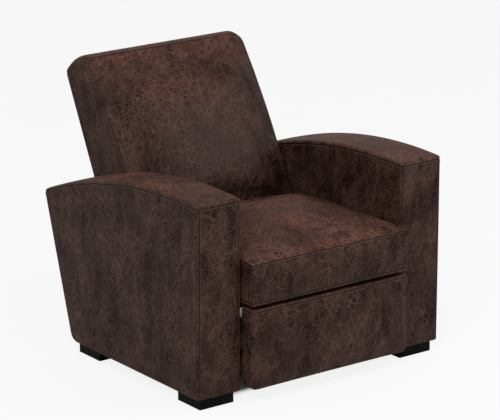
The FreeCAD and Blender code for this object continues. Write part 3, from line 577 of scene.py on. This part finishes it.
def make_arm(side_name, side):
    """An arm whose top bows from front to rear. Seams run round its top and down its front and rear edges."""
    half = (ARM_WIDE / 2, ARM_REAR_TOP[0] / 2, (ARM_FRONT_TOP[1] - ARM_LOW) / 2)
    top_seam = half[2] - ARM_TOP_SEAM
    front_seam = half[0] - ARM_FRONT_SEAM
    pad = Padding(f"{side_name}_arm_cover", half, ARM_EDGE, ((-front_seam, front_seam), (), (top_seam,)))
    pad.crown(0, 1, ARM_SIDE_CROWN)
    pad.crown(0, -1, ARM_SIDE_CROWN)
    pad.crown(1, -1, ARM_FRONT_CROWN)
    pad.crown(2, 1, ARM_TOP_CROWN)
    ends = np.abs(pad.y) > half[1] - 5 * MM
    pad.stitch(pad.z - top_seam)
    pad.stitch(np.abs(pad.x) - front_seam, where=(pad.z < top_seam) & ends)

    def place(points):
        across, y, z = points.T
        y, z = round_corner(y, z, half[1], -half[2], ARM_HEEL_ROUND)
        y, z = round_corner(y, z, half[1], half[2], ARM_REAR_ROUND)
        y, z = round_corner(y, z, -half[1], half[2], ARM_FRONT_ROUND)
        along = (y + half[1]) / (2 * half[1])
        up = (z + half[2]) / (2 * half[2])
        top = bowed(along, ARM_FRONT_TOP, ARM_REAR_TOP, ARM_BOW)
        depth = blend_line(along * ARM_HEEL, top[0], up)
        height = blend_line(ARM_LOW, top[1], up)
        return np.stack([side * (ARM_INNER + ARM_WIDE / 2) + across, FACE + depth, height], 1)

    finish_cover(pad.shape(place), "base", [f"{side_name}_arm_{name}" for name in ARM_PANELS])


# Seat
SEAT_HALF = 288 * MM
SEAT_FRONT = -49 * MM
SEAT_REAR = 486 * MM
SEAT_LOW = 301.5 * MM
SEAT_SEAM = (430 * MM, 416 * MM)
SEAT_EDGE = 4 * MM
SEAT_EDGE_CROWN, SEAT_CROWN = 4 * MM, 44 * MM
SEAT_FRONT_CROWN, SEAT_SIDE_CROWN = 7 * MM, 2 * MM
SEAT_DIMPLE = 1.1 * MM
EAR, EAR_OUT, EAR_FORWARD = 26 * MM, 6 * MM, 5 * MM


def make_seat():
    """A crowned cushion, with a boxing between two seams, a welt below and front corners that stand out."""
    half = (SEAT_HALF, (SEAT_REAR - SEAT_FRONT) / 2, (SEAT_SEAM[0] - SEAT_LOW) / 2)
    pad = Padding("seat_cushion_cover", half, SEAT_EDGE)
    pad.crown(1, -1, SEAT_FRONT_CROWN)
    pad.crown(0, 1, SEAT_SIDE_CROWN)
    pad.crown(0, -1, SEAT_SIDE_CROWN)
    boxing = pad.z < half[2] - FACE_MARGIN
    beside = (np.abs(pad.x) > half[0] - FACE_MARGIN) & boxing
    pad.stitch(half[2] - 4 * MM - pad.z, where=boxing)
    pad.welt(-1, inset=3 * MM, rise=1.6 * MM, reach=9 * MM)
    pad.stitch(pad.z + half[2] - 8 * MM, depth=1.4 * MM, where=boxing)
    pad.stitch(pad.y + half[1] - 5 * MM, where=beside)

    def place(points):
        across, y, z = points.T
        along = (y + half[1]) / (2 * half[1])
        up = (z + half[2]) / (2 * half[2])
        rise = np.clip(up, 0, 1)
        u = np.clip(across / half[0], -1, 1)
        crown = SEAT_EDGE_CROWN + SEAT_CROWN * (1 - np.abs(u) ** 2.8)
        bow = crown * (1 - np.abs(2 * np.clip(along, 0, 1) - 1) ** 2.5) * rise ** 3
        bow += SEAT_DIMPLE * np.sin(across * 62 + 1) * np.sin(across * 23) * rise ** 6
        top = blend_line(SEAT_SEAM[0], SEAT_SEAM[1], along) + bow
        ear = np.exp(-((half[0] - np.abs(across)) / EAR) ** 2 - ((y + half[1]) / EAR) ** 2) * rise ** 4
        across = across + np.sign(across) * EAR_OUT * ear
        along = along - EAR_FORWARD * ear / (2 * half[1])
        depth = blend_line(SEAT_FRONT, SEAT_REAR, along)
        return np.stack([across, FACE + depth, blend_line(SEAT_LOW, top, up)], 1)

    free = np.where(pad.z > half[2] - FACE_MARGIN, 0.8, 0.1)
    free = np.where(pad.y < -half[1] + FACE_MARGIN, 0.3, free)
    free = np.where((pad.z < -half[2] + FACE_MARGIN) | (pad.y > half[1] - FACE_MARGIN), 0.0, free)
    finish_cover(pad.shape(place, free, cap=24 * MM), "seat", ["seat_cushion"])


# Footrest
REST_HALF = 290.5 * MM
REST_EDGE = 8 * MM
REST_SPARE = 2 * MM
REST_LOW_ROUND, REST_TOP_ROUND = 20 * MM, 8 * MM


def make_footrest():
    """A flat pad round its board, with a welt and a seam under its top edge."""
    low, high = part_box("footrest_pad")
    front = low.y + 3 * MM
    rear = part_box("footrest_board")[1].y - 0.3 * MM
    half = (REST_HALF, (rear - front) / 2, (high.z - low.z) / 2 + REST_SPARE)
    middle = Vector((0, (front + rear) / 2, (low.z + high.z) / 2 - REST_SPARE))
    pad = Padding("footrest_cover", half, REST_EDGE)
    pad.crown(1, -1, 3 * MM, 3)
    pad.welt(1, inset=4 * MM, rise=1.5 * MM, reach=12 * MM)
    pad.stitch(half[2] - 5 * MM - pad.z, depth=1.2 * MM, where=pad.y < half[1] - 9 * MM)

    def place(points):
        across, y, z = points.T
        for corner in (-half[0], half[0]):
            across, z = round_corner(across, z, corner, -half[2], REST_LOW_ROUND)
            across, z = round_corner(across, z, corner, half[2], REST_TOP_ROUND)
        return np.stack([across, y, z], 1) + np.array(middle)

    free = np.where(pad.y < -half[1] + FACE_MARGIN, 0.5, 0.1)
    nodes = ["footrest_pad", "footrest_board"]
    finish_cover(pad.shape(place, free, cap=22 * MM), "footrest", nodes)


# Back
BACK_HALF = 290 * MM
BACK_DEEP = 130 * MM
BACK_LOW_FRONT = (510 * MM, 398 * MM)
BACK_TOP_FRONT = (794 * MM, 867 * MM)
SHOULDER = (911.5 * MM, 809 * MM)
BACK_SLOPE = math.tan(math.radians(25.9))
BACK_EDGE = 6 * MM
BACK_SEAM = 3.5 * MM
BACK_FRONT_ROUND, BACK_REAR_ROUND = 30 * MM, 7 * MM
BACK_WAIST = 0.985
BACK_BOW, BACK_SWELL, BACK_LIFT = 18 * MM, 24 * MM, 24 * MM


def rear_line(height):
    """Depth of the back's raked rear face at a height."""
    return SHOULDER[0] - (SHOULDER[1] - height) * BACK_SLOPE


def make_back():
    """A raked cushion with rounded shoulders, a swelling front and a seam along both edges of its sides."""
    half = (BACK_HALF, BACK_DEEP / 2, (BACK_TOP_FRONT[1] - BACK_LOW_FRONT[1]) / 2)
    pad = Padding("back_cover", half, BACK_EDGE)
    side = (np.abs(pad.x) > half[0] - FACE_MARGIN) | (pad.z > half[2] - FACE_MARGIN)
    pad.stitch(pad.y + half[1] - BACK_SEAM, where=side)
    pad.stitch(half[1] - BACK_SEAM - pad.y, where=side)

    def place(points):
        across, y, z = points.T
        along = (y + half[1]) / (2 * half[1])
        inside = np.clip(along, 0, 1)
        turn = blend_line(BACK_FRONT_ROUND, BACK_REAR_ROUND, inside)
        for corner in (-half[0], half[0]):
            across, z = round_corner(across, z, corner, half[2], turn)
        up = (z + half[2]) / (2 * half[2])
        climb = np.clip(up, 0, 1)
        across = across * blend_line(BACK_WAIST, 1.0, climb)
        u = np.clip(across / half[0], -1, 1)
        front = bowed(up, BACK_LOW_FRONT, BACK_TOP_FRONT, BACK_BOW)
        roll = (1 - np.abs(u) ** 3.5) * (1 - np.abs(2 * climb - 1) ** 3)
        swelling = BACK_SWELL * roll * np.clip(1 - along, 0, 1) ** 3
        high = blend_line(BACK_LOW_FRONT[1], SHOULDER[1], up)
        depth = blend_line(front[0] - swelling, rear_line(high), along)
        height = blend_line(front[1], high, along)
        lift = BACK_LIFT * (1 - (2 * inside - 1) ** 2) * climb ** 6
        return np.stack([across, FACE + depth, height + lift], 1)

    free = np.where(pad.y < -half[1] + FACE_MARGIN, 1.0, 0.15)
    free = np.where((pad.y > half[1] - FACE_MARGIN) | (pad.z < -half[2] + FACE_MARGIN), 0.0, free)
    nodes = ["back_cushion", "left_back_side", "right_back_side"]
    finish_cover(pad.shape(place, free, cap=24 * MM), "back", nodes)


# Rear and tail covers: thin padded panels
PANEL_EDGE = 4 * MM
PANEL_CROWN = 3 * MM
REAR_LOW, REAR_HIGH = 300 * MM, 800 * MM
REAR_THICK = 16 * MM
REAR_INSET = 6 * MM
TAIL_HALF = (296 * MM, 7 * MM, 157 * MM)
TAIL_HEIGHT = 193 * MM
TAIL_INSET = 13 * MM
TAIL_SLOPE = math.tan(math.radians(17.2))


def make_rear_cover():
    pad = Padding("back_rear_cover", (BACK_HALF, REAR_THICK / 2, (REAR_HIGH - REAR_LOW) / 2), PANEL_EDGE)
    pad.crown(1, 1, PANEL_CROWN)

    def place(points):
        across, y, z = points.T
        height = z + (REAR_LOW + REAR_HIGH) / 2
        return np.stack([across, FACE + rear_line(height) - REAR_INSET + y, height], 1)

    finish_cover(pad.shape(place), "back", ["back_rear_panel"])


def make_tail_cover():
    pad = Padding("tail_cover", TAIL_HALF, PANEL_EDGE)
    pad.crown(1, 1, PANEL_CROWN)

    def place(points):
        across, y, z = points.T
        height = z + TAIL_HEIGHT
        depth = ARM_REAR_TOP[0] - (ARM_REAR_TOP[1] - height) * TAIL_SLOPE - TAIL_INSET + y
        return np.stack([across, FACE + depth, height], 1)

    finish_cover(pad.shape(place), "base", ["tail_panel"])


make_arm("left", -1)
make_arm("right", 1)
make_seat()
make_footrest()
make_back()
make_rear_cover()
make_tail_cover()

# Room
FLOOR_SIZE = 40
FLOOR_WHITE = 0.86
FLOOR_GREY = (0.86, 0.86, 0.86)
WORLD_LIGHT = 0.45
WHITE = (1, 1, 1, 1)
KEY = {"power": 80, "place": (-2.6, -2.4, 3.0), "aim": (0, 0, 0.4), "size": (2.4, 2.0)}
FILL = {"power": 34, "place": (2.15, -2.1, 2.55), "aim": (0, 0.1, 0.6), "size": (1.2, 1.2)}

# The strip of floor that the camera sees through the slit beside the footrest is a painted shadow: it gets no
# white glow, so it stays dark. It runs the way
# that the camera looks: HEADING is the cosine and sine of its azimuth. Its edges fade between two distances.
HEADING = (0.802, 0.597)
SHADOW_STRIP_ASIDE = 0.0195
SHADOW_STRIP_HALF = (0.025, 0.050)
SHADOW_STRIP_END = (0.34, 0.38)


def make_floor():
    deselect_all()
    bpy.ops.mesh.primitive_plane_add(size=FLOOR_SIZE, location=(0, 0, 0))
    floor = bpy.context.object
    floor.name = "floor"
    paint, w, shader = new_paint("floor_paint", FLOOR_GREY, 0.7)
    spot = w.add("SeparateXYZ", Vector=w.add("TexCoord").outputs["Object"]).outputs
    by_x, by_y = w.math("MULTIPLY", spot["X"], HEADING[0]), w.math("MULTIPLY", spot["Y"], HEADING[1])
    across = w.math("SUBTRACT", w.math("SUBTRACT", by_x, by_y), SHADOW_STRIP_ASIDE)
    aside = w.ramp(w.math("ABSOLUTE", across), *SHADOW_STRIP_HALF)
    beyond = w.ramp(w.math("ABSOLUTE", spot["Y"]), *SHADOW_STRIP_END)
    # Camera rays see the floor glow white, except on the strip of painted shadow seen through the slit
    seen = w.math("MULTIPLY", w.add("LightPath").outputs["Is Camera Ray"], w.math("MAXIMUM", aside, beyond))
    mixed = w.add("MixShader")
    w.feed(mixed.inputs[0], w.math("MULTIPLY", seen, FLOOR_WHITE))
    w.feed(mixed.inputs[1], shader.outputs[0])
    w.feed(mixed.inputs[2], w.add("Emission", Color=WHITE, Strength=1.0).outputs[0])
    w.feed(w.tree.nodes["Material Output"].inputs["Surface"], mixed.outputs[0])
    floor.data.materials.append(paint)


def make_world():
    """White to the camera and in what shines, and a plainer light for the rest."""
    world = bpy.data.worlds.new("studio")
    bpy.context.scene.world = world
    world.use_nodes = True
    w = Wiring(world.node_tree)
    path = w.add("LightPath").outputs
    seen = w.math("MAXIMUM", path["Is Camera Ray"], path["Is Glossy Ray"])
    seen = w.math("MAXIMUM", seen, path["Is Transmission Ray"])
    strength = w.add("MapRange", Value=seen, To_Min=WORLD_LIGHT, To_Max=1.0).outputs[0]
    background = world.node_tree.nodes["Background"]
    w.feed(background.inputs["Color"], WHITE)
    w.feed(background.inputs["Strength"], strength)


def make_lamp(name, power, place, aim, size):
    data = bpy.data.lights.new(name, "AREA")
    data.shape = "RECTANGLE"
    data.size, data.size_y = size
    data.energy = power
    obj = bpy.data.objects.new(name, data)
    bpy.context.scene.collection.objects.link(obj)
    obj.location = place
    obj.rotation_mode = "QUATERNION"
    obj.rotation_quaternion = (Vector(aim) - Vector(place)).to_track_quat("-Z", "Y")


make_floor()
make_world()
make_lamp("key", **KEY)
make_lamp("fill", **FILL)

# Camera
AZIMUTH, ELEVATION = math.radians(-36.67), math.radians(16.89)
AIM = Vector((35.5 * MM, FACE + 400 * MM, 425.2 * MM))
DISTANCE = 8.676
LENS = 205.56

level = math.cos(ELEVATION)
back = Vector((math.sin(AZIMUTH) * level, -math.cos(AZIMUTH) * level, math.sin(ELEVATION)))
camera_data = bpy.data.cameras.new("camera")
camera_data.lens = LENS
camera = bpy.data.objects.new("camera", camera_data)
bpy.context.scene.collection.objects.link(camera)
camera.location = AIM + back * DISTANCE
camera.rotation_mode = "QUATERNION"
camera.rotation_quaternion = (-back).to_track_quat("-Z", "Y")
bpy.context.scene.camera = camera
bpy.context.scene.view_settings.view_transform = "Standard"
